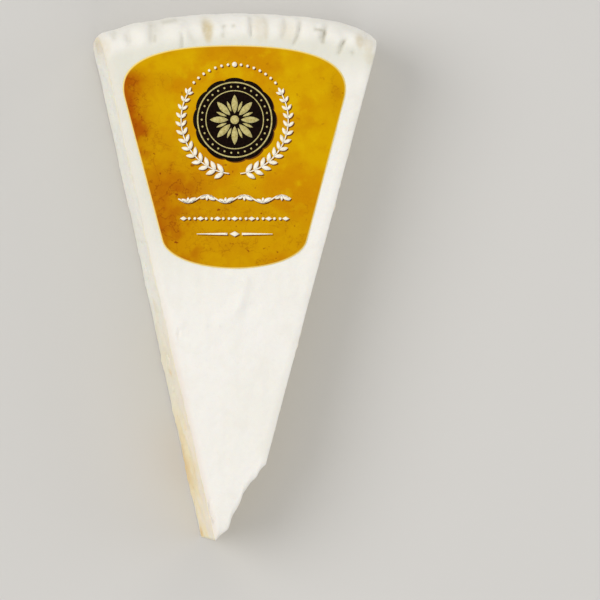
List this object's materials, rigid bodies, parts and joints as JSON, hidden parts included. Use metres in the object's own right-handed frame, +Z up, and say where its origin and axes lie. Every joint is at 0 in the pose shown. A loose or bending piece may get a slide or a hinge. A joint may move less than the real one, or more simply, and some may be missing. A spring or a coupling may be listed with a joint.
{
  "type": "brie cheese wedge",
  "caption": "Wedge of brie cut from a flat wheel, with white rind, cream paste at the cuts, a trimmed tip and an amber paper label on its top face.",
  "frame": {"origin": "on the surface that the wedge lies on, under the middle of its bounding box", "axes": "+Z up out of the labelled top face; +Y from the tip towards the rim; +X to the right, seen from above with the rim at the top"},
  "size_m": [0.0842, 0.1584, 0.0307],
  "materials": {
    "rind_and_paste": "matt white bloomy rind with faint cream mottling; pale cream-yellow paste on the cut faces",
    "label_paper": null
  },
  "bodies": {
    "root": {"cheese_wedge": "rind_and_paste", "label": "label_paper"}
  },
  "joints": []
}
